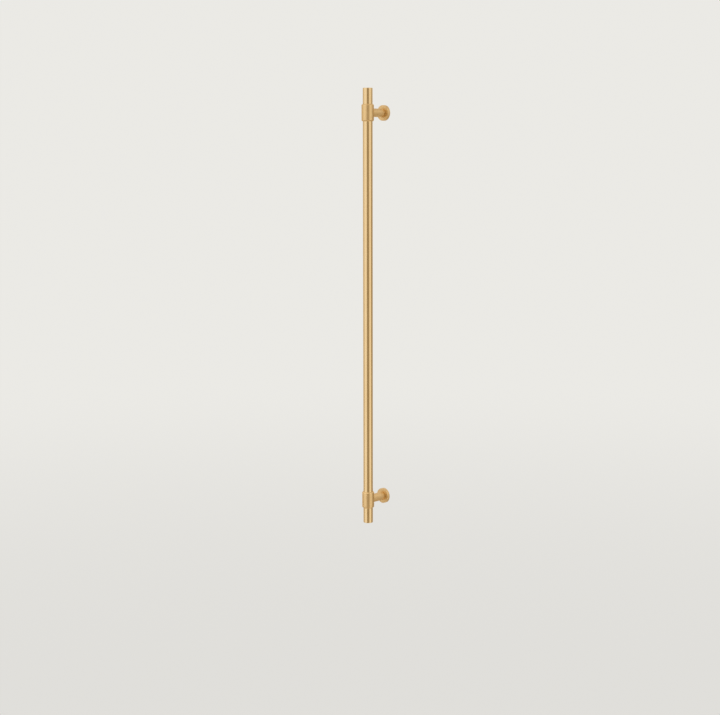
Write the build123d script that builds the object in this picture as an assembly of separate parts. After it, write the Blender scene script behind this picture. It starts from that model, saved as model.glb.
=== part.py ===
from build123d import *
from math import radians, tan
import os

# Long bar pull handle for a furniture door, in millimetres.
# The door's face is the plane y = 0 and the handle stands off it towards -Y. Z runs along the bar,
# X across the door, and the origin is midway between the two fixing holes.

# Driving dimensions: bar
BAR_DIAMETER = 12.7
BAR_OVERHANG = 31.5  # from a post's centre line to the bar's end
BAR_END_ROUNDING = 0.6

# Driving dimensions: where the posts stand
FIXING_CENTRES = 512.0

# Driving dimensions: collars
COLLAR_LENGTH = 22.0
COLLAR_WALL = 1.6
COLLAR_TAPER_LENGTH = 1.2  # conical stretch at each end
COLLAR_END_WALL = 0.4  # wall left where the cone ends
COLLAR_SHOULDER_ROUNDING = 0.12

# Driving dimensions: posts
POST_DIAMETER = 11.0
POST_LENGTH = 19.0  # from the collar's surface to the rose
POST_EDGE_CHAMFER = 0.2
SPIGOT_DIAMETER = 7.0  # goes through the rose
SPIGOT_SETBACK = 0.15  # spigot's end inside the rose's back face, so that the rose is clamped
POST_WEB = 2.4  # solid metal between the two blind holes, at full hole width

# Driving dimensions: roses
ROSE_DIAMETER = 20.0
ROSE_THICKNESS = 4.5
ROSE_FRONT_ROUNDING = 0.4
ROSE_BACK_CHAMFER = 0.2

# Driving dimensions: tapped hole for the machine screw that comes through the door, M4
FIXING_HOLE_DIAMETER = 3.3
HOLE_MOUTH_CHAMFER = 0.3
DRILL_POINT_ANGLE = 118.0

# Driving dimensions: headless joining screw, M5, which ties bar, collar and post
SCREW_DIAMETER = 5.0
SCREW_IN_BAR = 7.05  # thread engaged inside the bar
SCREW_IN_POST = 7.3  # thread engaged past the collar's surface
SCREW_END_CHAMFER = 0.6
SOCKET_ACROSS_FLATS = 2.5
SOCKET_DEPTH = 2.6

# Clearances, measured on the radius or along the axis
COLLAR_FIT = 0.05  # collar on the bar
COPE_FIT = 0.02  # post's coped end on the collar
SPIGOT_FIT = 0.1  # spigot in the rose
THREAD_FIT = 0.05  # screw in its tapped holes
SCREW_PASS_FIT = 0.25  # screw through the collar's wall
BAR_HOLE_RUNOUT = 0.3  # bar's hole past the screw's front end
POST_HOLE_RUNOUT = 1.5  # post's front hole past the screw's back end

# Sizes that follow
BAR_LENGTH = FIXING_CENTRES + 2 * BAR_OVERHANG
COLLAR_BORE = BAR_DIAMETER + 2 * COLLAR_FIT
COLLAR_DIAMETER = COLLAR_BORE + 2 * COLLAR_WALL
TAPPED_RADIUS = SCREW_DIAMETER / 2 + THREAD_FIT

# Places along Y, from the door outwards
DOOR_Y = 0.0
ROSE_FACE_Y = DOOR_Y - ROSE_THICKNESS
SPIGOT_END_Y = DOOR_Y - SPIGOT_SETBACK
COLLAR_BACK_Y = ROSE_FACE_Y - POST_LENGTH
BAR_AXIS_Y = COLLAR_BACK_Y - COLLAR_DIAMETER / 2
BAR_BACK_Y = BAR_AXIS_Y + BAR_DIAMETER / 2
SCREW_FRONT_Y = BAR_BACK_Y - SCREW_IN_BAR
SCREW_BACK_Y = COLLAR_BACK_Y + SCREW_IN_POST
POST_FRONT_HOLE_END_Y = SCREW_BACK_Y + POST_HOLE_RUNOUT
FIXING_HOLE_END_Y = POST_FRONT_HOLE_END_Y + POST_WEB

# Height of each post's centre line
END_HEIGHTS = {"upper": FIXING_CENTRES / 2, "lower": -FIXING_CENTRES / 2}


def rod_along_y(radius, y_start, y_end):
    """Round rod on a post's centre line between two places along Y."""
    middle = Pos(0, (y_start + y_end) / 2, 0) * Rot(90, 0, 0)
    return middle * Cylinder(radius, abs(y_end - y_start))


def cone_along_y(radius_start, radius_end, y_start, y_end):
    """Cone on a post's centre line between two places along Y."""
    turn = 90 if y_end < y_start else -90
    middle = Pos(0, (y_start + y_end) / 2, 0) * Rot(turn, 0, 0)
    return middle * Cone(radius_start, radius_end, abs(y_end - y_start))


def drilled_hole(radius, mouth_y, end_y):
    """Blind hole on a post's centre line, full width from mouth_y to end_y, then a drill point."""
    inwards = 1 if end_y > mouth_y else -1
    point = inwards * radius / tan(radians(DRILL_POINT_ANGLE / 2))
    return rod_along_y(radius, mouth_y, end_y) + cone_along_y(radius, 0, end_y, end_y + point)


def round_edges(solid, radius):
    """Circular edges of one radius on a turned piece."""
    circles = solid.edges().filter_by(GeomType.CIRCLE)
    return circles.filter_by(lambda edge: abs(edge.radius - radius) < 1e-4)


def make_bar():
    """Solid round bar with softened ends and a blind tapped hole at the back behind each post."""
    bar = Cylinder(BAR_DIAMETER / 2, BAR_LENGTH)
    bar = fillet(round_edges(bar, BAR_DIAMETER / 2), BAR_END_ROUNDING)
    bar = Pos(0, BAR_AXIS_Y, 0) * bar
    screw_hole = drilled_hole(TAPPED_RADIUS, COLLAR_BACK_Y, SCREW_FRONT_Y - BAR_HOLE_RUNOUT)
    for height in END_HEIGHTS.values():
        bar -= Pos(0, 0, height) * screw_hole
    return bar


def make_collar():
    """Turned sleeve with a conical taper at each end and a screw hole through its back wall."""
    radius = COLLAR_DIAMETER / 2
    end_radius = COLLAR_BORE / 2 + COLLAR_END_WALL
    half_flat = COLLAR_LENGTH / 2 - COLLAR_TAPER_LENGTH
    taper = Cone(radius, end_radius, COLLAR_TAPER_LENGTH)
    taper = Pos(0, 0, half_flat + COLLAR_TAPER_LENGTH / 2) * taper
    collar = Cylinder(radius, 2 * half_flat) + taper + Rot(180, 0, 0) * taper
    collar = fillet(round_edges(collar, radius), COLLAR_SHOULDER_ROUNDING)
    collar -= Cylinder(COLLAR_BORE / 2, COLLAR_LENGTH)
    collar = Pos(0, BAR_AXIS_Y, 0) * collar
    pass_radius = SCREW_DIAMETER / 2 + SCREW_PASS_FIT
    return collar - rod_along_y(pass_radius, BAR_AXIS_Y, ROSE_FACE_Y)


def make_post():
    """Turned post: front end coped to the collar, spigot at the back, a blind hole in each end."""
    body = rod_along_y(POST_DIAMETER / 2, BAR_AXIS_Y, ROSE_FACE_Y)
    back_rim = round_edges(body, POST_DIAMETER / 2).sort_by(Axis.Y)[-1]
    body = chamfer(back_rim, POST_EDGE_CHAMFER)
    collar_space = Pos(0, BAR_AXIS_Y, 0) * Cylinder(COLLAR_DIAMETER / 2 + COPE_FIT, 2 * POST_DIAMETER)
    body -= collar_space
    spigot = rod_along_y(SPIGOT_DIAMETER / 2, ROSE_FACE_Y, SPIGOT_END_Y)
    fixing_radius = FIXING_HOLE_DIAMETER / 2
    fixing_hole = drilled_hole(fixing_radius, SPIGOT_END_Y, FIXING_HOLE_END_Y)
    mouth = cone_along_y(
        fixing_radius + HOLE_MOUTH_CHAMFER,
        fixing_radius,
        SPIGOT_END_Y,
        SPIGOT_END_Y - HOLE_MOUTH_CHAMFER,
    )
    screw_hole = drilled_hole(TAPPED_RADIUS, BAR_BACK_Y, POST_FRONT_HOLE_END_Y)
    return body + spigot - fixing_hole - mouth - screw_hole


def make_joining_screw():
    """Headless screw, chamfered at both ends, with its hexagon socket towards the door."""
    screw = rod_along_y(SCREW_DIAMETER / 2, SCREW_FRONT_Y, SCREW_BACK_Y)
    screw = chamfer(round_edges(screw, SCREW_DIAMETER / 2), SCREW_END_CHAMFER)
    socket_face = Plane(origin=(0, SCREW_BACK_Y, 0), z_dir=(0, -1, 0))
    hexagon = RegularPolygon(SOCKET_ACROSS_FLATS / 2, 6, major_radius=False)
    return screw - extrude(socket_face * hexagon, SOCKET_DEPTH)


def make_rose():
    """Loose disc between post and door, its front edge rounded, with a hole for the spigot."""
    rose = rod_along_y(ROSE_DIAMETER / 2, ROSE_FACE_Y, DOOR_Y)
    front_rim = round_edges(rose, ROSE_DIAMETER / 2).sort_by(Axis.Y)[0]
    rose = fillet(front_rim, ROSE_FRONT_ROUNDING)
    back_rim = round_edges(rose, ROSE_DIAMETER / 2).sort_by(Axis.Y)[-1]
    rose = chamfer(back_rim, ROSE_BACK_CHAMFER)
    return rose - rod_along_y(SPIGOT_DIAMETER / 2 + SPIGOT_FIT, ROSE_FACE_Y, DOOR_Y)


def main():
    os.makedirs("parts", exist_ok=True)
    pieces = {"bar": make_bar()}
    at_each_end = {
        "collar": make_collar(),
        "post": make_post(),
        "joining_screw": make_joining_screw(),
        "rose": make_rose(),
    }
    for end, height in END_HEIGHTS.items():
        for name, piece in at_each_end.items():
            pieces[f"{end}_{name}"] = Pos(0, 0, height) * piece
    for node, piece in pieces.items():
        export_step(piece, f"parts/{node}.step")


main()
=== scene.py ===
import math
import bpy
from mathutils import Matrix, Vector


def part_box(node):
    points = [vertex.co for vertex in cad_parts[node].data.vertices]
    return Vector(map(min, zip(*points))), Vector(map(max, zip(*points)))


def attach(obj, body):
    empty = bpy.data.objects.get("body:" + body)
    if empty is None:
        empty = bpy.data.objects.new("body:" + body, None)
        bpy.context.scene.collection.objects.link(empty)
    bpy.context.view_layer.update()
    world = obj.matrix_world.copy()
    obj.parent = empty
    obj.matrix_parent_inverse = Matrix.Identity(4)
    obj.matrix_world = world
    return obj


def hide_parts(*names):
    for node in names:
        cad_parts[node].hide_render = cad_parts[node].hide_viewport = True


bl_info = {
    "name": "Brass Bar Pull",
    "version": (1, 0, 0),
    "blender": (4, 5, 0),
    "location": "View3D > Sidebar > Bar Pull",
    "description": "Models and finishes a long brass bar pull on its packed parts, and lights it",
    "category": "Object",
}

import bmesh
import bpy
from bpy.props import FloatProperty, FloatVectorProperty, IntProperty, PointerProperty
from mathutils import Euler, Vector

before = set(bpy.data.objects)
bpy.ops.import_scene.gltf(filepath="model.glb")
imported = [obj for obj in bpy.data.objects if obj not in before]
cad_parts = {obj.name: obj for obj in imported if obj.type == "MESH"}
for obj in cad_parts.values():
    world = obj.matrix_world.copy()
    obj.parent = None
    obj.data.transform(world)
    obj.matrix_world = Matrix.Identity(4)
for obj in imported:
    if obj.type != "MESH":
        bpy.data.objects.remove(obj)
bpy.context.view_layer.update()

MM = 0.001
NEAR = 0.01 * MM
TOWARDS_ROOM = Euler((math.radians(90), 0, 0))
UPRIGHT = Euler((0, 0, 0))
ENDS = ("upper", "lower")
DRILL_POINT = math.radians(118)
OFF_THE_EDGES = math.radians(2.3)
SMOOTH_BELOW = math.radians(28)
TOOL_LEAD = 1.0 * MM  # how far outside the metal a cutting tool starts
WELD_WITHIN = 0.0005  # at a thousand times the size, where cuts are made

# Flats round the small round tools and the screw
HOLE_SIDES = 48
CROSS_HOLE_SIDES = 64
SCREW_SIDES = 72

# Plain rings left beside a hole, past its radius
BAR_HOLE_GUARD = 1.0 * MM
COLLAR_HOLE_GUARD = 0.8 * MM

# Threads: the groove's half width and depth as shares of the pitch
GROOVE_HALF_WIDTH = 0.46
GROOVE_DEPTH = 0.54
GROOVE_OVERLAP = 0.05 * MM  # how far the cutter starts outside the threaded wall
THREAD_STEPS = 36
THREAD_RUN_OUT = 2  # turns past the threaded stretch

# Surface patterns: noise scales per metre, noise levels and what they become
ON_END_FACE = 0.8  # a normal this steep belongs to the bar's end
PATCH_SCALE = 38.0
PATCH_LEVELS = (0.35, 0.7)
PATCH_SHARES = (0.0, 0.5)
LINE_LEVELS = (0.3, 0.7)
LINE_TONES = (0.95, 1.02)
SHEEN_LEVELS = (0.25, 0.75)
SHEEN_SPREAD = 0.04
LINE_BUMP = 0.3
CLOUD_SCALE = 900.0
CLOUD_LEVELS = (0.3, 0.7)
ZINC_ROUGHNESS = (0.3, 0.45)

# Surroundings: heights of the room's tones, from straight down at 0 to straight up at 1
ROOM_BELOW_AT = 0.1
ROOM_FROM = 0.38
ROOM_TO = 0.6
ROOM_ABOVE_AT = 0.82
FLOOR_RIM = 0.98  # share of the floor's radius where it is fully clear
SENSOR_WIDTH = 36


def across(node, axis):
    """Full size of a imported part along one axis, to a hundredth of a millimetre."""
    low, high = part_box(node)
    return round(high[axis] - low[axis], 5)


def middle(node, axis):
    """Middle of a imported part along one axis, to a hundredth of a millimetre."""
    low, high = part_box(node)
    return round((high[axis] + low[axis]) / 2, 5)


class PullSizes(bpy.types.PropertyGroup):
    """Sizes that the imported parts' outer boxes don't tell."""

    sides: IntProperty(
        name="Sides",
        description="Flats round each turned piece",
        default=128,
        min=32,
        max=256,
    )
    bar_end_rounding: FloatProperty(
        name="Bar end rounding",
        description="Radius of the rounded edge at each end of the bar",
        default=0.6 * MM,
        unit="LENGTH",
        precision=5,
    )
    taper_length: FloatProperty(
        name="Taper length",
        description="Length of the cone at each end of a collar",
        default=1.2 * MM,
        unit="LENGTH",
        precision=5,
    )
    taper_end_wall: FloatProperty(
        name="Taper end wall",
        description="Wall left where a collar's cone ends on the bar",
        default=0.4 * MM,
        unit="LENGTH",
        precision=5,
    )
    shoulder_rounding: FloatProperty(
        name="Collar shoulder rounding",
        description="Radius between a collar's straight side and its cone",
        default=0.12 * MM,
        unit="LENGTH",
        precision=5,
    )
    collar_fit: FloatProperty(
        name="Collar fit",
        description="Clearance all round between the bar and a collar's bore",
        default=0.05 * MM,
        unit="LENGTH",
        precision=5,
    )
    cope_fit: FloatProperty(
        name="Cope fit",
        description="Clearance between a post's coped end and the collar",
        default=0.02 * MM,
        unit="LENGTH",
        precision=5,
    )
    post_edge: FloatProperty(
        name="Post edge",
        description="Chamfer where a post meets its rose",
        default=0.2 * MM,
        unit="LENGTH",
        precision=5,
    )
    spigot_radius: FloatProperty(
        name="Spigot radius",
        description="Radius of the post's back end, which goes through the rose",
        default=3.5 * MM,
        unit="LENGTH",
        precision=5,
    )
    spigot_setback: FloatProperty(
        name="Spigot setback",
        description="How far the spigot ends inside the rose's back face",
        default=0.15 * MM,
        unit="LENGTH",
        precision=5,
    )
    spigot_fit: FloatProperty(
        name="Spigot fit",
        description="Clearance all round between the spigot and the rose's hole",
        default=0.1 * MM,
        unit="LENGTH",
        precision=5,
    )
    rose_rounding: FloatProperty(
        name="Rose rounding",
        description="Radius of the rose's front edge",
        default=0.4 * MM,
        unit="LENGTH",
        precision=5,
    )
    rose_back_edge: FloatProperty(
        name="Rose back edge",
        description="Chamfer round the rose's back face",
        default=0.2 * MM,
        unit="LENGTH",
        precision=5,
    )
    fixing_hole_radius: FloatProperty(
        name="Fixing hole radius",
        description="Radius of the hole drilled for the fixing thread",
        default=1.65 * MM,
        unit="LENGTH",
        precision=5,
    )
    fixing_hole_depth: FloatProperty(
        name="Fixing hole depth",
        description="Depth of the fixing hole from the door's face, at full width",
        default=12.3 * MM,
        unit="LENGTH",
        precision=5,
    )
    thread_radius: FloatProperty(
        name="Thread radius",
        description="Outer radius of the fixing thread, M4",
        default=2.0 * MM,
        unit="LENGTH",
        precision=5,
    )
    thread_pitch: FloatProperty(
        name="Thread pitch",
        description="Pitch of the fixing thread, M4",
        default=0.7 * MM,
        unit="LENGTH",
        precision=5,
    )
    thread_depth: FloatProperty(
        name="Thread depth",
        description="How far the fixing thread runs in from the door's face",
        default=10.5 * MM,
        unit="LENGTH",
        precision=5,
    )
    mouth_chamfer: FloatProperty(
        name="Mouth chamfer",
        description="Chamfer at the mouth of the fixing hole",
        default=0.3 * MM,
        unit="LENGTH",
        precision=5,
    )
    screw_pitch: FloatProperty(
        name="Screw pitch",
        description="Pitch of the joining screw's thread, M5",
        default=0.8 * MM,
        unit="LENGTH",
        precision=5,
    )
    screw_end_chamfer: FloatProperty(
        name="Screw end chamfer",
        description="Chamfer at both ends of the joining screw",
        default=0.6 * MM,
        unit="LENGTH",
        precision=5,
    )
    socket_across: FloatProperty(
        name="Socket across flats",
        description="Size of the joining screw's hexagon socket",
        default=2.5 * MM,
        unit="LENGTH",
        precision=5,
    )
    socket_depth: FloatProperty(
        name="Socket depth",
        description="Depth of the joining screw's hexagon socket",
        default=2.6 * MM,
        unit="LENGTH",
        precision=5,
    )
    screw_hole_radius: FloatProperty(
        name="Screw hole radius",
        description="Radius of the joining screw's holes in the bar and the post",
        default=2.55 * MM,
        unit="LENGTH",
        precision=5,
    )
    screw_pass_radius: FloatProperty(
        name="Screw pass radius",
        description="Radius of the joining screw's hole through the collar",
        default=2.75 * MM,
        unit="LENGTH",
        precision=5,
    )
    screw_front_room: FloatProperty(
        name="Screw front room",
        description="How far the bar's hole runs past the joining screw",
        default=0.3 * MM,
        unit="LENGTH",
        precision=5,
    )
    screw_back_room: FloatProperty(
        name="Screw back room",
        description="How far the post's hole runs past the joining screw",
        default=1.5 * MM,
        unit="LENGTH",
        precision=5,
    )
    edge_break: FloatProperty(
        name="Edge break",
        description="Small rounding on edges that are sharp to the eye",
        default=0.08 * MM,
        unit="LENGTH",
        precision=5,
    )


class BrassFinish(bpy.types.PropertyGroup):
    """Colour and surface of the satin brass."""

    colour: FloatVectorProperty(
        name="Brass",
        description="Main colour of the brass",
        subtype="COLOR",
        default=(0.89, 0.71, 0.42),
        min=0,
        max=1,
    )
    deep_colour: FloatVectorProperty(
        name="Deep brass",
        description="Colour in the faint darker patches of the brass",
        subtype="COLOR",
        default=(0.86, 0.66, 0.36),
        min=0,
        max=1,
    )
    fitting_colour: FloatVectorProperty(
        name="Fitting brass",
        description="Main colour of the collars, posts and roses",
        subtype="COLOR",
        default=(0.85, 0.65, 0.355),
        min=0,
        max=1,
    )
    fitting_deep_colour: FloatVectorProperty(
        name="Deep fitting brass",
        description="Colour in the faint darker patches of the collars, posts and roses",
        subtype="COLOR",
        default=(0.81, 0.60, 0.30),
        min=0,
        max=1,
    )
    bar_roughness: FloatProperty(
        name="Bar roughness",
        description="Mean roughness of the bar",
        default=0.18,
        subtype="FACTOR",
        min=0,
        max=1,
    )
    collar_roughness: FloatProperty(
        name="Collar roughness",
        description="Mean roughness of the collars",
        default=0.4,
        subtype="FACTOR",
        min=0,
        max=1,
    )
    post_roughness: FloatProperty(
        name="Post roughness",
        description="Mean roughness of the posts and roses",
        default=0.45,
        subtype="FACTOR",
        min=0,
        max=1,
    )
    line_pitch: FloatProperty(
        name="Line pitch",
        description="Mean distance between the fine lines of the finish",
        default=0.18 * MM,
        unit="LENGTH",
        precision=5,
    )
    line_length: FloatProperty(
        name="Line length",
        description="Mean length of the fine lines of the finish",
        default=14 * MM,
        unit="LENGTH",
        precision=5,
    )
    line_depth: FloatProperty(
        name="Line depth",
        description="Depth of the fine lines of the finish",
        default=0.004 * MM,
        unit="LENGTH",
        precision=6,
    )
    steel: FloatVectorProperty(
        name="Zinc plate",
        description="Colour of the joining screws",
        subtype="COLOR",
        default=(0.56, 0.57, 0.58),
        min=0,
        max=1,
    )


class StudioSetup(bpy.types.PropertyGroup):
    """Camera, floor and lights."""

    camera_place: FloatVectorProperty(
        name="Camera",
        description="Where the camera stands",
        subtype="TRANSLATION",
        unit="LENGTH",
        default=(1.2887, -1.3311, 0.2225),
    )
    camera_turn: FloatProperty(
        name="Camera turn",
        description="How far the camera is turned to the left of the door's normal",
        subtype="ANGLE",
        default=math.radians(45.09),
    )
    camera_dip: FloatProperty(
        name="Camera dip",
        description="How far the camera looks down",
        subtype="ANGLE",
        default=math.radians(8.87),
    )
    camera_lean: FloatProperty(
        name="Camera lean",
        description="How far the picture is turned about the line of sight",
        subtype="ANGLE",
        default=math.radians(-0.12),
    )
    lens: FloatProperty(
        name="Lens",
        description="Focal length on a 36 mm wide frame, in millimetres",
        default=70.0,
    )
    backdrop: FloatVectorProperty(
        name="Backdrop",
        description="Colour of the pale surroundings that the camera sees",
        subtype="COLOR",
        default=(0.83, 0.82, 0.785),
        min=0,
        max=1,
    )
    room: FloatVectorProperty(
        name="Room",
        description="Dim warm light from the room between the softboxes",
        subtype="COLOR",
        default=(0.37, 0.285, 0.185),
        min=0,
        max=1,
    )
    room_above: FloatVectorProperty(
        name="Ceiling",
        description="Light from above the softboxes",
        subtype="COLOR",
        default=(0.62, 0.52, 0.41),
        min=0,
        max=1,
    )
    room_below: FloatVectorProperty(
        name="Ground",
        description="Light from the floor that reaches the brass",
        subtype="COLOR",
        default=(0.46, 0.36, 0.24),
        min=0,
        max=1,
    )
    floor: FloatVectorProperty(
        name="Floor",
        description="Colour of the floor",
        subtype="COLOR",
        default=(0.745, 0.735, 0.705),
        min=0,
        max=1,
    )
    floor_drop: FloatProperty(
        name="Floor drop",
        description="Height of the handle's middle above the floor",
        unit="LENGTH",
        default=1.3,
    )
    floor_clear: FloatProperty(
        name="Floor clear",
        description="Radius over which the floor is solid",
        unit="LENGTH",
        default=1.8,
    )
    floor_fade: FloatProperty(
        name="Floor fade",
        description="Radius at which the floor has faded into the backdrop",
        unit="LENGTH",
        default=7.0,
    )
    light_distance: FloatProperty(
        name="Light distance",
        description="Distance of each softbox from the handle",
        unit="LENGTH",
        default=2.0,
    )
    soft_rim: FloatProperty(
        name="Soft rim",
        description="Width over which a softbox's light fades towards its rim",
        unit="LENGTH",
        default=0.9,
    )
    brightness: FloatProperty(
        name="Brightness",
        description="Radiance of a softbox at full strength",
        default=0.62,
        min=0,
    )


class Softbox:
    """Where one softbox stands: its direction, its size, its share of the brightness, its tint."""

    def __init__(self, name, azimuth, elevation, width, height, share, tint):
        self.name = name
        self.azimuth = azimuth
        self.elevation = elevation
        self.width = width
        self.height = height
        self.share = share
        self.tint = tint


SOFTBOXES = (
    Softbox("softbox_left", -14, 18, 2.95, 6.2, 1.0, (1.0, 1.0, 1.03)),
    Softbox("softbox_right", 100.5, 0, 2.0, 9.0, 0.95, (1.0, 0.97, 0.94)),
    Softbox("softbox_side", -84, 0, 2.0, 4.0, 0.62, (1.0, 0.93, 0.85)),
    Softbox("softbox_rear", 212, 0, 2.1, 4.0, 0.5, (1.0, 0.97, 0.94)),
    Softbox("softbox_above", 162, 26, 2.4, 1.2, 0.4, (1.0, 0.97, 0.94)),
    Softbox("softbox_below", 0, -80, 2.0, 2.0, 0.5, (1.0, 0.95, 0.88)),
)


def sole(piece):
    """Makes a piece the only selected object, and the active one."""
    bpy.ops.object.select_all(action="DESELECT")
    piece.select_set(True)
    bpy.context.view_layer.objects.active = piece


def add_blank(name, radius, low, high, sides):
    """Adds a round blank on the Z axis between two heights."""
    bpy.ops.object.select_all(action="DESELECT")
    bpy.ops.mesh.primitive_cylinder_add(
        vertices=sides,
        radius=radius,
        depth=high - low,
        location=(0, 0, (low + high) / 2),
    )
    blank = bpy.context.object
    blank.name = name
    blank.data.name = name
    bpy.ops.object.transform_apply(location=True, rotation=True, scale=True)
    return blank


def pick(piece, kind, wanted):
    """In edit mode, selects only the vertices, edges or faces that wanted accepts."""
    bpy.ops.mesh.select_mode(type=kind)
    bpy.ops.mesh.select_all(action="DESELECT")
    mesh = bmesh.from_edit_mesh(piece.data)
    elements = {"VERT": mesh.verts, "EDGE": mesh.edges, "FACE": mesh.faces}[kind]
    for element in elements:
        if wanted(element):
            element.select_set(True)
    bmesh.update_edit_mesh(piece.data)


def at_height(*heights):
    """Accepts faces and edges that lie flat at one of these heights."""
    return lambda element: any(
        all(abs(vertex.co.z - height) < NEAR for vertex in element.verts)
        for height in heights
    )


def on_ring(radius, *heights):
    """Accepts edges of a ring of this radius at one of these heights."""
    flat = at_height(*heights)
    return lambda edge: flat(edge) and all(
        abs(vertex.co.xy.length - radius) < NEAR for vertex in edge.verts
    )


def carry_cap(piece, height, travel, ratio):
    """Extrudes the flat cap at a height along Z and narrows it by a ratio."""
    pick(piece, "FACE", at_height(height))
    bpy.ops.mesh.extrude_region_move(TRANSFORM_OT_translate={"value": (0, 0, travel)})
    bpy.ops.transform.resize(value=(ratio, ratio, 1), center_override=(0, 0, 0))


def open_bore(piece, radius, bore, low, high):
    """Turns a solid piece into a tube: narrows both caps to the bore and joins them through."""
    for height in (low, high):
        carry_cap(piece, height, 0, bore / radius)
    inner = at_height(low, high)
    pick(
        piece,
        "FACE",
        lambda face: inner(face) and len(face.verts) > 4,
    )
    bpy.ops.mesh.delete(type="FACE")
    pick(piece, "EDGE", on_ring(bore, low, high))
    bpy.ops.mesh.bridge_edge_loops()


def round_rim(piece, radius, heights, width, segments):
    """Rounds the rims of one radius at these heights."""
    pick(piece, "EDGE", on_ring(radius, *heights))
    bpy.ops.mesh.bevel(
        offset=width, segments=segments, profile=0.5, affect="EDGES", clamp_overlap=False
    )


def slice_flat(piece, *heights):
    """Adds a ring of edges round the piece at each height."""
    for height in heights:
        bpy.ops.mesh.select_all(action="SELECT")
        bpy.ops.mesh.bisect(plane_co=(0, 0, height), plane_no=(0, 0, 1))


def place(piece, turn, location):
    """Turns a piece and moves it to its place, with the place held in its mesh."""
    sole(piece)
    piece.rotation_euler = turn
    piece.location = location
    bpy.ops.object.transform_apply(location=True, rotation=True, scale=True)


def rescale(piece, factor):
    """Makes a piece's mesh larger or smaller about the origin."""
    sole(piece)
    piece.scale = (factor, factor, factor)
    bpy.ops.object.transform_apply(location=True, rotation=True, scale=True)


def cut(piece, tool):
    """Cuts a tool's shape out of a piece and takes the tool away.

    It is done at a thousand times the size, because small cuts come out cleaner there.
    """
    rescale(tool, 1 / MM)
    rescale(piece, 1 / MM)
    bpy.ops.object.modifier_add(type="BOOLEAN")
    cutter = piece.modifiers[-1]
    cutter.operation = "DIFFERENCE"
    cutter.solver = "EXACT"
    cutter.object = tool
    bpy.ops.object.modifier_apply(modifier=cutter.name)
    bpy.data.objects.remove(tool)
    bpy.ops.object.mode_set(mode="EDIT")
    bpy.ops.mesh.select_all(action="SELECT")
    bpy.ops.mesh.remove_doubles(threshold=WELD_WITHIN)
    bpy.ops.object.mode_set(mode="OBJECT")
    rescale(piece, MM)


def smooth(piece):
    """Shades a piece smooth but for its sharp edges."""
    sole(piece)
    bpy.ops.object.shade_smooth_by_angle(angle=SMOOTH_BELOW)


def drill(radius, mouth, bottom, sides=HOLE_SIDES):
    """A drill on the Z axis from its mouth to its full-width bottom, with its point past that."""
    low, high = sorted((mouth, bottom))
    tool = add_blank("drill", radius, low, high, sides)
    point = math.copysign(radius / math.tan(DRILL_POINT / 2), bottom - mouth)
    bpy.ops.object.mode_set(mode="EDIT")
    pick(tool, "FACE", at_height(bottom))
    bpy.ops.mesh.extrude_region_move(TRANSFORM_OT_translate={"value": (0, 0, point)})
    bpy.ops.mesh.merge(type="CENTER")
    bpy.ops.object.mode_set(mode="OBJECT")
    return tool


def countersink(radius, depth, mouth):
    """A cone on the Z axis that breaks a hole's mouth at 45 degrees."""
    bpy.ops.object.select_all(action="DESELECT")
    bpy.ops.mesh.primitive_cone_add(
        vertices=HOLE_SIDES,
        radius1=radius + depth + TOOL_LEAD,
        radius2=radius + depth - TOOL_LEAD,
        depth=2 * TOOL_LEAD,
        location=(0, 0, mouth),
    )
    bpy.ops.object.transform_apply(location=True, rotation=True, scale=True)
    return bpy.context.object


def thread_cutter(start_radius, tip_radius, pitch, low, high):
    """A right-hand helical ridge on the Z axis that cuts a thread's groove to its tip radius."""
    bpy.ops.object.select_all(action="DESELECT")
    bpy.ops.mesh.primitive_circle_add(
        vertices=4,
        radius=1.0,
        fill_type="NOTHING",
        location=(start_radius, 0, low),
        rotation=(math.radians(90), 0, 0),
    )
    cutter = bpy.context.object
    cutter.scale = (abs(tip_radius - start_radius), GROOVE_HALF_WIDTH * pitch, 1)
    bpy.ops.object.transform_apply(location=True, rotation=True, scale=True)
    bpy.ops.object.modifier_add(type="SCREW")
    helix = cutter.modifiers[-1]
    helix.axis = "Z"
    helix.angle = math.radians(360)
    helix.screw_offset = pitch
    helix.iterations = round((high - low) / pitch)
    helix.steps = helix.render_steps = THREAD_STEPS
    bpy.ops.object.modifier_apply(modifier=helix.name)
    bpy.ops.object.mode_set(mode="EDIT")
    bpy.ops.mesh.select_all(action="SELECT")
    bpy.ops.mesh.fill_holes(sides=4)
    bpy.ops.mesh.select_all(action="SELECT")
    bpy.ops.mesh.normals_make_consistent(inside=False)
    bpy.ops.object.mode_set(mode="OBJECT")
    cutter.rotation_euler.z = OFF_THE_EDGES
    bpy.ops.object.transform_apply(location=True, rotation=True, scale=True)
    return cutter


def copy_down(piece, name):
    """Copies a finished upper piece, with its own mesh, to its place at the lower end."""
    sole(piece)
    bpy.ops.object.duplicate()
    twin = bpy.context.object
    twin.name = name
    twin.data.name = name
    drop = middle("lower_post", 2) - middle("upper_post", 2)
    bpy.ops.transform.translate(value=(0, 0, drop))
    bpy.ops.object.transform_apply(location=True, rotation=True, scale=True)
    return twin


def settle(piece, node, material):
    """Hands a finished piece over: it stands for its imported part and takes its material."""
    piece.data.materials.clear()
    piece.data.materials.append(material)
    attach(piece, "root")
    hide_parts(node)


class NodeTable:
    """Adds nodes to a material and links them by socket."""

    def __init__(self, material):
        self.nodes = material.node_tree.nodes
        self.links = material.node_tree.links

    def add(self, kind, inputs=None, **settings):
        node = self.nodes.new(kind)
        for name, value in settings.items():
            setattr(node, name, value)
        for key, value in (inputs or {}).items():
            if isinstance(value, bpy.types.NodeSocket):
                self.links.new(value, node.inputs[key])
            else:
                node.inputs[key].default_value = value
        return node

    def link(self, output, socket):
        self.links.new(output, socket)


def new_material(name):
    """A material with only its output and surface shader."""
    material = bpy.data.materials.new(name)
    material.use_nodes = True
    table = NodeTable(material)
    return material, table, table.nodes["Principled BSDF"]


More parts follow.
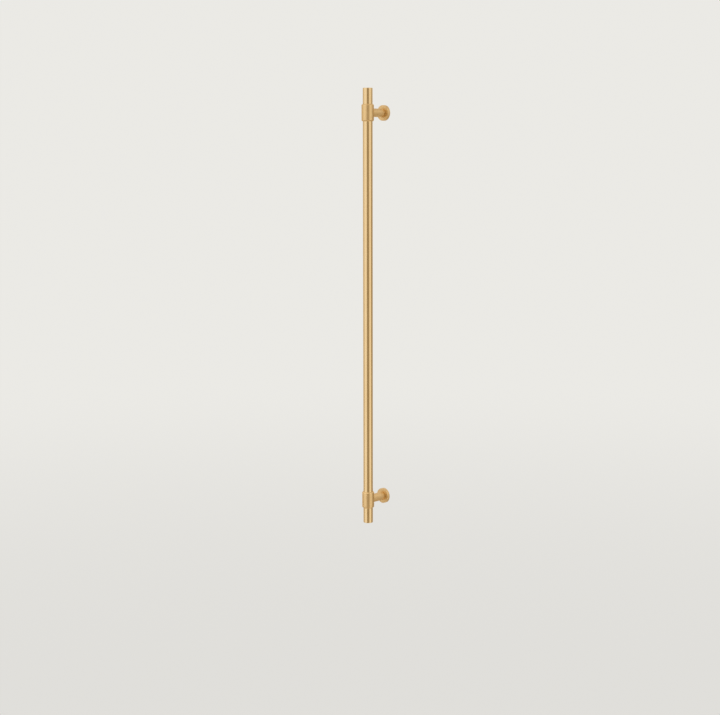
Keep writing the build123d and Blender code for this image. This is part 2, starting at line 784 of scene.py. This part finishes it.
def map_range(table, value, from_low, from_high, to_low, to_high):
    """A value carried from one range into another, and held inside it."""
    limits = {"From Min": from_low, "From Max": from_high, "To Min": to_low, "To Max": to_high}
    return table.add("ShaderNodeMapRange", {"Value": value, **limits}).outputs[0]


def scaled(table, value, factor):
    """A value times a constant."""
    return table.add("ShaderNodeMath", {0: value, 1: factor}, operation="MULTIPLY").outputs[0]


def turned_lines(table, parts, axis, finish):
    """Coordinates for lines round an axis: circles on flat faces and rings on round ones."""
    beside = parts["Z" if axis == "Y" else "Y"]
    flat = table.add("ShaderNodeCombineXYZ", {"X": parts["X"], "Y": beside})
    radius = table.add("ShaderNodeVectorMath", {0: flat.outputs[0]}, operation="LENGTH")
    return table.add(
        "ShaderNodeCombineXYZ",
        {
            "X": scaled(table, radius.outputs["Value"], 1 / finish.line_pitch),
            "Y": scaled(table, parts[axis], 1 / finish.line_pitch),
            "Z": scaled(table, parts["X"], 1 / finish.line_length),
        },
    ).outputs[0]


def drawn_lines(table, parts, finish):
    """Coordinates for lines along the bar's side, and for circles on its end faces."""
    along_side = table.add(
        "ShaderNodeCombineXYZ",
        {
            "X": scaled(table, parts["X"], 1 / finish.line_pitch),
            "Y": scaled(table, parts["Y"], 1 / finish.line_pitch),
            "Z": scaled(table, parts["Z"], 1 / finish.line_length),
        },
    )
    facing = table.add("ShaderNodeNewGeometry").outputs["Normal"]
    upward = table.add("ShaderNodeSeparateXYZ", {0: facing}).outputs["Z"]
    steep = table.add("ShaderNodeMath", {0: upward}, operation="ABSOLUTE")
    on_end = table.add("ShaderNodeMath", {0: steep.outputs[0], 1: ON_END_FACE}, operation="GREATER_THAN")
    mixed = table.add("ShaderNodeMix", {"Factor": on_end.outputs[0]}, data_type="VECTOR")
    table.link(along_side.outputs[0], mixed.inputs[4])
    table.link(turned_lines(table, parts, "Z", finish), mixed.inputs[5])
    return mixed.outputs[1]


def brass(name, finish, colours, roughness, centre, turned_on=None):
    """Satin brass with fine lines, faint patches in its colour, and a slightly uneven sheen.

    The lines run round the axis turned_on through centre, or along the bar where it is None.
    """
    material, table, shader = new_material(name)
    place_node = table.add("ShaderNodeTexCoord").outputs["Object"]
    centred = table.add("ShaderNodeMapping", {"Vector": place_node})
    centred.inputs["Location"].default_value = tuple(-part for part in centre)
    parts = table.add("ShaderNodeSeparateXYZ", {0: centred.outputs[0]}).outputs
    if turned_on:
        coordinates = turned_lines(table, parts, turned_on, finish)
    else:
        coordinates = drawn_lines(table, parts, finish)
    lines = table.add(
        "ShaderNodeTexNoise",
        {"Vector": coordinates, "Scale": 1.0, "Detail": 4.0, "Roughness": 0.6},
    ).outputs["Fac"]
    patches = table.add(
        "ShaderNodeTexNoise", {"Vector": place_node, "Scale": PATCH_SCALE, "Detail": 3.0}
    ).outputs["Fac"]
    patch_share = map_range(table, patches, *PATCH_LEVELS, *PATCH_SHARES)
    colour = table.add("ShaderNodeMix", {0: patch_share}, data_type="RGBA")
    colour.inputs[6].default_value = (*colours[0], 1)
    colour.inputs[7].default_value = (*colours[1], 1)
    line_tone = map_range(table, lines, *LINE_LEVELS, *LINE_TONES)
    toned = table.add(
        "ShaderNodeVectorMath", {0: colour.outputs[2], 1: line_tone}, operation="MULTIPLY"
    )
    table.link(toned.outputs[0], shader.inputs["Base Color"])
    sheens = (roughness - SHEEN_SPREAD, roughness + SHEEN_SPREAD)
    uneven = map_range(table, lines, *SHEEN_LEVELS, *sheens)
    table.link(uneven, shader.inputs["Roughness"])
    bump = table.add(
        "ShaderNodeBump",
        {"Height": lines, "Strength": LINE_BUMP, "Distance": finish.line_depth},
    )
    table.link(bump.outputs[0], shader.inputs["Normal"])
    shader.inputs["Metallic"].default_value = 1.0
    return material


class BARPULL_OT_bar(bpy.types.Operator):
    """Model the bar, with rounded ends and a blind hole behind each post"""

    bl_idname = "barpull.bar"
    bl_label = "Bar"

    def execute(self, context):
        sizes = context.scene.bar_pull_sizes
        finish = context.scene.bar_pull_finish
        radius = across("bar", 0) / 2
        half = across("bar", 2) / 2
        axis_y = middle("bar", 1)
        heights = [middle(f"{end}_post", 2) for end in ENDS]
        guard = sizes.screw_hole_radius + BAR_HOLE_GUARD
        bar = add_blank("bar_rod", radius, -half, half, sizes.sides)
        bpy.ops.object.mode_set(mode="EDIT")
        round_rim(bar, radius, (-half, half), sizes.bar_end_rounding, 6)
        for height in heights:
            slice_flat(bar, height - guard, height + guard)
        bpy.ops.object.mode_set(mode="OBJECT")
        place(bar, UPRIGHT, (0, axis_y, 0))
        hole_end = -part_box("upper_joining_screw")[0].y + sizes.screw_front_room
        for height in heights:
            hole = drill(sizes.screw_hole_radius, -axis_y - radius - TOOL_LEAD, hole_end)
            place(hole, TOWARDS_ROOM, (0, 0, height))
            cut(bar, hole)
        smooth(bar)
        colours = (finish.colour, finish.deep_colour)
        material = brass("bar_brass", finish, colours, finish.bar_roughness, (0, axis_y, 0))
        settle(bar, "bar", material)
        return {"FINISHED"}


class BARPULL_OT_collars(bpy.types.Operator):
    """Model the two collars, bored for the bar and tapered at both ends"""

    bl_idname = "barpull.collars"
    bl_label = "Collars"

    def execute(self, context):
        sizes = context.scene.bar_pull_sizes
        finish = context.scene.bar_pull_finish
        collar = self.turn_collar(sizes)
        self.cross_drill(collar, sizes)
        smooth(collar)
        collars = (collar, copy_down(collar, "lower_collar_sleeve"))
        colours = (finish.fitting_colour, finish.fitting_deep_colour)
        centre = (0, middle("bar", 1), 0)
        material = brass("collar_brass", finish, colours, finish.collar_roughness, centre, "Z")
        for end, piece in zip(ENDS, collars):
            settle(piece, f"{end}_collar", material)
        return {"FINISHED"}

    def turn_collar(self, sizes):
        """A sleeve round the bar's axis: straight in the middle, and a cone at each end."""
        radius = across("upper_collar", 0) / 2
        half = across("upper_collar", 2) / 2
        bore = across("bar", 0) / 2 + sizes.collar_fit
        end_radius = bore + sizes.taper_end_wall
        flat = half - sizes.taper_length
        collar = add_blank("upper_collar_sleeve", radius, -flat, flat, sizes.sides)
        bpy.ops.object.mode_set(mode="EDIT")
        for side in (-1, 1):
            carry_cap(collar, side * flat, side * sizes.taper_length, end_radius / radius)
        open_bore(collar, end_radius, bore, -half, half)
        round_rim(collar, radius, (-flat, flat), sizes.shoulder_rounding, 4)
        round_rim(collar, end_radius, (-half, half), sizes.edge_break, 2)
        guard = sizes.screw_pass_radius + COLLAR_HOLE_GUARD
        slice_flat(collar, -guard, guard)
        bpy.ops.object.mode_set(mode="OBJECT")
        return collar

    def cross_drill(self, collar, sizes):
        """Puts the collar in its place and drills its back wall for the joining screw."""
        height = middle("upper_collar", 2)
        axis_y = middle("bar", 1)
        place(collar, UPRIGHT, (0, axis_y, height))
        hole = add_blank("drill", sizes.screw_pass_radius, 0, -axis_y, CROSS_HOLE_SIDES)
        place(hole, TOWARDS_ROOM, (0, 0, height))
        cut(collar, hole)


class BARPULL_OT_posts(bpy.types.Operator):
    """Model the two posts, coped to the collars, with the fixing thread in their back ends"""

    bl_idname = "barpull.posts"
    bl_label = "Posts"

    def execute(self, context):
        sizes = context.scene.bar_pull_sizes
        finish = context.scene.bar_pull_finish
        post = self.turn_post(sizes)
        self.tap_fixing_hole(post, sizes)
        self.cope_front(post, sizes)
        smooth(post)
        posts = (post, copy_down(post, "lower_post_turning"))
        colours = (finish.fitting_colour, finish.fitting_deep_colour)
        for end, piece in zip(ENDS, posts):
            centre = (0, 0, middle(f"{end}_post", 2))
            material = brass(
                f"{end}_post_brass", finish, colours, finish.post_roughness, centre, "Y"
            )
            settle(piece, f"{end}_post", material)
        return {"FINISHED"}

    def turn_post(self, sizes):
        """A shank on the Z axis, with the spigot behind its shoulder at the low end."""
        radius = across("upper_post", 0) / 2
        shoulder = across("upper_rose", 1)
        front = -middle("bar", 1)
        post = add_blank("upper_post_turning", radius, shoulder, front, sizes.sides)
        bpy.ops.object.mode_set(mode="EDIT")
        carry_cap(post, shoulder, 0, sizes.spigot_radius / radius)
        pick(post, "FACE", lambda face: at_height(shoulder)(face) and len(face.verts) > 4)
        travel = sizes.spigot_setback - shoulder
        bpy.ops.mesh.extrude_region_move(TRANSFORM_OT_translate={"value": (0, 0, travel)})
        round_rim(post, radius, (shoulder,), sizes.post_edge, 1)
        round_rim(post, sizes.spigot_radius, (sizes.spigot_setback,), sizes.edge_break, 2)
        bpy.ops.object.mode_set(mode="OBJECT")
        return post

    def tap_fixing_hole(self, post, sizes):
        """Drills the fixing hole, cuts the thread in its wall and breaks its mouth."""
        radius = sizes.fixing_hole_radius
        mouth = sizes.spigot_setback
        pitch = sizes.thread_pitch
        cut(post, drill(radius, mouth - TOOL_LEAD, sizes.fixing_hole_depth))
        inside = radius - GROOVE_OVERLAP
        start = mouth - THREAD_RUN_OUT * pitch
        cut(post, thread_cutter(inside, sizes.thread_radius, pitch, start, sizes.thread_depth))
        cut(post, countersink(radius, sizes.mouth_chamfer, mouth))

    def cope_front(self, post, sizes):
        """Drills the front end for the joining screw, and copes it to fit round the collar."""
        height = middle("upper_post", 2)
        axis_y = middle("bar", 1)
        hole_end = -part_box("upper_joining_screw")[1].y - sizes.screw_back_room
        cut(post, drill(sizes.screw_hole_radius, -axis_y + TOOL_LEAD, hole_end))
        place(post, TOWARDS_ROOM, (0, 0, height))
        cope_radius = across("upper_collar", 0) / 2 + sizes.cope_fit
        reach = across("upper_post", 0)
        cope = add_blank("cope", cope_radius, -reach, reach, 2 * sizes.sides)
        place(cope, UPRIGHT, (0, axis_y, height))
        cut(post, cope)


class BARPULL_OT_roses(bpy.types.Operator):
    """Model the two roses, flat discs between the posts and the door"""

    bl_idname = "barpull.roses"
    bl_label = "Roses"

    def execute(self, context):
        sizes = context.scene.bar_pull_sizes
        finish = context.scene.bar_pull_finish
        radius = across("upper_rose", 0) / 2
        thickness = across("upper_rose", 1)
        hole_radius = sizes.spigot_radius + sizes.spigot_fit
        rose = add_blank("upper_rose_disc", radius, 0, thickness, sizes.sides)
        bpy.ops.object.mode_set(mode="EDIT")
        open_bore(rose, radius, hole_radius, 0, thickness)
        round_rim(rose, radius, (thickness,), sizes.rose_rounding, 5)
        round_rim(rose, radius, (0,), sizes.rose_back_edge, 1)
        round_rim(rose, hole_radius, (0, thickness), sizes.edge_break, 2)
        bpy.ops.object.mode_set(mode="OBJECT")
        place(rose, TOWARDS_ROOM, (0, 0, middle("upper_rose", 2)))
        smooth(rose)
        roses = (rose, copy_down(rose, "lower_rose_disc"))
        colours = (finish.fitting_colour, finish.fitting_deep_colour)
        for end, piece in zip(ENDS, roses):
            centre = (0, 0, middle(f"{end}_rose", 2))
            material = brass(
                f"{end}_rose_brass", finish, colours, finish.post_roughness, centre, "Y"
            )
            settle(piece, f"{end}_rose", material)
        return {"FINISHED"}


class BARPULL_OT_screws(bpy.types.Operator):
    """Model the two headless joining screws, threaded, with a hexagon socket at the back"""

    bl_idname = "barpull.screws"
    bl_label = "Joining Screws"

    def execute(self, context):
        sizes = context.scene.bar_pull_sizes
        finish = context.scene.bar_pull_finish
        low_corner, high_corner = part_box("upper_joining_screw")
        radius = across("upper_joining_screw", 0) / 2
        back, front = -high_corner.y, -low_corner.y
        screw = add_blank("upper_set_screw", radius, back, front, SCREW_SIDES)
        bpy.ops.object.mode_set(mode="EDIT")
        round_rim(screw, radius, (back, front), sizes.screw_end_chamfer, 1)
        bpy.ops.object.mode_set(mode="OBJECT")
        start_radius = radius + GROOVE_OVERLAP
        root = radius - GROOVE_DEPTH * sizes.screw_pitch
        start = back - THREAD_RUN_OUT * sizes.screw_pitch
        end = front + THREAD_RUN_OUT * sizes.screw_pitch
        cut(screw, thread_cutter(start_radius, root, sizes.screw_pitch, start, end))
        socket_radius = sizes.socket_across / math.sqrt(3)
        cut(screw, drill(socket_radius, back - TOOL_LEAD, back + sizes.socket_depth, 6))
        place(screw, TOWARDS_ROOM, (0, 0, middle("upper_joining_screw", 2)))
        smooth(screw)
        screws = (screw, copy_down(screw, "lower_set_screw"))
        material = self.zinc(finish)
        for end_name, piece in zip(ENDS, screws):
            settle(piece, f"{end_name}_joining_screw", material)
        return {"FINISHED"}

    def zinc(self, finish):
        """Zinc plated steel with a faintly cloudy surface."""
        material, table, shader = new_material("screw_zinc")
        place_node = table.add("ShaderNodeTexCoord")
        cloud = table.add(
            "ShaderNodeTexNoise",
            {"Vector": place_node.outputs["Object"], "Scale": CLOUD_SCALE, "Detail": 3.0},
        )
        uneven = map_range(table, cloud.outputs["Fac"], *CLOUD_LEVELS, *ZINC_ROUGHNESS)
        table.link(uneven, shader.inputs["Roughness"])
        shader.inputs["Base Color"].default_value = (*finish.steel, 1)
        shader.inputs["Metallic"].default_value = 1.0
        return material


class BARPULL_OT_studio(bpy.types.Operator):
    """Set up the floor, the pale surroundings, the softboxes and the camera"""

    bl_idname = "barpull.studio"
    bl_label = "Studio"

    def execute(self, context):
        studio = context.scene.bar_pull_studio
        context.scene.view_settings.view_transform = "Standard"
        self.lay_floor(studio)
        self.fill_surroundings(context, studio)
        for softbox in SOFTBOXES:
            self.hang_softbox(context, studio, softbox)
        self.stand_camera(context, studio)
        return {"FINISHED"}

    def lay_floor(self, studio):
        """A pale round floor that fades into the backdrop towards its rim."""
        bpy.ops.object.select_all(action="DESELECT")
        bpy.ops.mesh.primitive_circle_add(
            vertices=96,
            radius=studio.floor_fade,
            fill_type="NGON",
            location=(0, 0, -studio.floor_drop),
        )
        floor = bpy.context.object
        floor.name = "floor"
        bpy.ops.object.transform_apply(location=True, rotation=True, scale=True)
        material, table, shader = new_material("floor_paper")
        place_node = table.add("ShaderNodeTexCoord")
        flat = table.add(
            "ShaderNodeVectorMath",
            {0: place_node.outputs["Object"], 1: (1, 1, 0)},
            operation="MULTIPLY",
        )
        radius = table.add("ShaderNodeVectorMath", {0: flat.outputs[0]}, operation="LENGTH")
        solid = table.add(
            "ShaderNodeMapRange",
            {
                "Value": radius.outputs["Value"],
                "From Min": studio.floor_clear,
                "From Max": studio.floor_fade * FLOOR_RIM,
                "To Min": 1.0,
                "To Max": 0.0,
            },
            interpolation_type="SMOOTHSTEP",
        )
        glow = table.add("ShaderNodeEmission", {"Color": (*studio.floor, 1)})
        clear = table.add("ShaderNodeBsdfTransparent")
        paper = table.add(
            "ShaderNodeMixShader", {0: solid.outputs[0], 1: clear.outputs[0], 2: glow.outputs[0]}
        )
        table.link(paper.outputs[0], table.nodes["Material Output"].inputs["Surface"])
        table.nodes.remove(shader)
        floor.visible_glossy = False
        floor.visible_shadow = False
        floor.data.materials.append(material)

    def fill_surroundings(self, context, studio):
        """Pale all round to the camera, and a dim room to the brass."""
        world = bpy.data.worlds.new("surroundings")
        world.use_nodes = True
        context.scene.world = world
        table = NodeTable(world)
        seen = table.nodes["Background"]
        seen.inputs["Color"].default_value = (*studio.backdrop, 1)
        direction = table.add("ShaderNodeTexCoord").outputs["Generated"]
        height = table.add("ShaderNodeSeparateXYZ", {0: direction}).outputs["Z"]
        level = table.add("ShaderNodeMapRange", {"Value": height, "From Min": -1.0})
        room = table.add("ShaderNodeValToRGB", {"Fac": level.outputs[0]})
        ramp = room.color_ramp.elements
        ramp[0].position, ramp[0].color = ROOM_BELOW_AT, (*studio.room_below, 1)
        ramp[1].position, ramp[1].color = ROOM_ABOVE_AT, (*studio.room_above, 1)
        for position in (ROOM_FROM, ROOM_TO):
            ramp.new(position).color = (*studio.room, 1)
        dim = table.add("ShaderNodeBackground", {"Color": room.outputs["Color"]})
        path = table.add("ShaderNodeLightPath")
        mixed = table.add(
            "ShaderNodeMixShader",
            {0: path.outputs["Is Camera Ray"], 1: dim.outputs[0], 2: seen.outputs[0]},
        )
        table.link(mixed.outputs[0], table.nodes["World Output"].inputs["Surface"])

    def hang_softbox(self, context, studio, softbox):
        """A large soft light that faces the handle's middle."""
        light = bpy.data.lights.new(softbox.name, "AREA")
        light.shape = "RECTANGLE"
        light.size = softbox.width + studio.soft_rim
        light.size_y = softbox.height + studio.soft_rim
        area = light.size * light.size_y
        light.energy = softbox.share * studio.brightness * area * math.pi
        light.color = softbox.tint
        self.soften_rim(light, studio)
        turn, rise = math.radians(softbox.azimuth), math.radians(softbox.elevation)
        towards = Vector(
            (math.sin(turn) * math.cos(rise), -math.cos(turn) * math.cos(rise), math.sin(rise))
        )
        box = bpy.data.objects.new(softbox.name, light)
        context.scene.collection.objects.link(box)
        box.location = towards * studio.light_distance
        box.rotation_euler = (-towards).to_track_quat("-Z", "Y").to_euler()
        box.visible_camera = False

    def soften_rim(self, light, studio):
        """Makes a softbox's light fade towards its rim, as it does on the cloth of a real one."""
        light.use_nodes = True
        table = NodeTable(light)
        spot = table.add("ShaderNodeNewGeometry").outputs["Parametric"]
        parts = table.add("ShaderNodeSeparateXYZ", {0: spot}).outputs
        strength = 1.0
        for part, size in ((parts["X"], light.size), (parts["Y"], light.size_y)):
            off = table.add("ShaderNodeMath", {0: part, 1: 0.5}, operation="SUBTRACT")
            away = table.add("ShaderNodeMath", {0: off.outputs[0]}, operation="ABSOLUTE")
            fade = table.add(
                "ShaderNodeMapRange",
                {
                    "Value": away.outputs[0],
                    "From Min": 0.5 - studio.soft_rim / size,
                    "From Max": 0.5,
                    "To Min": 1.0,
                    "To Max": 0.0,
                },
                interpolation_type="SMOOTHSTEP",
            )
            strength = scaled(table, fade.outputs[0], strength)
        table.link(strength, table.nodes["Emission"].inputs["Strength"])

    def stand_camera(self, context, studio):
        """The camera at the photograph's place, with its slight lean."""
        camera = bpy.data.objects.new("camera", bpy.data.cameras.new("camera"))
        context.scene.collection.objects.link(camera)
        camera.data.lens = studio.lens
        camera.data.sensor_width = SENSOR_WIDTH
        camera.location = studio.camera_place
        aim = Euler((math.radians(90) - studio.camera_dip, 0, studio.camera_turn))
        lean = Euler((0, 0, studio.camera_lean))
        camera.rotation_euler = (aim.to_matrix() @ lean.to_matrix()).to_euler()
        context.scene.camera = camera


class BARPULL_PT_panel(bpy.types.Panel):
    """The bar pull's pieces in the sidebar"""

    bl_label = "Bar Pull"
    bl_idname = "BARPULL_PT_panel"
    bl_space_type = "VIEW_3D"
    bl_region_type = "UI"
    bl_category = "Bar Pull"

    def draw(self, context):
        for operator in PIECES:
            self.layout.operator(operator.bl_idname)
        for group in ("bar_pull_sizes", "bar_pull_finish", "bar_pull_studio"):
            holder = getattr(context.scene, group)
            box = self.layout.box()
            for name in holder.__annotations__:
                box.prop(holder, name)


PIECES = (
    BARPULL_OT_bar,
    BARPULL_OT_collars,
    BARPULL_OT_posts,
    BARPULL_OT_roses,
    BARPULL_OT_screws,
    BARPULL_OT_studio,
)
CLASSES = (PullSizes, BrassFinish, StudioSetup, *PIECES, BARPULL_PT_panel)


def register():
    for cls in CLASSES:
        bpy.utils.register_class(cls)
    bpy.types.Scene.bar_pull_sizes = PointerProperty(type=PullSizes)
    bpy.types.Scene.bar_pull_finish = PointerProperty(type=BrassFinish)
    bpy.types.Scene.bar_pull_studio = PointerProperty(type=StudioSetup)


def unregister():
    del bpy.types.Scene.bar_pull_studio
    del bpy.types.Scene.bar_pull_finish
    del bpy.types.Scene.bar_pull_sizes
    for cls in reversed(CLASSES):
        bpy.utils.unregister_class(cls)


def main():
    register()
    bpy.ops.barpull.bar()
    bpy.ops.barpull.collars()
    bpy.ops.barpull.posts()
    bpy.ops.barpull.roses()
    bpy.ops.barpull.screws()
    bpy.ops.barpull.studio()


if __name__ == "__main__":
    main()
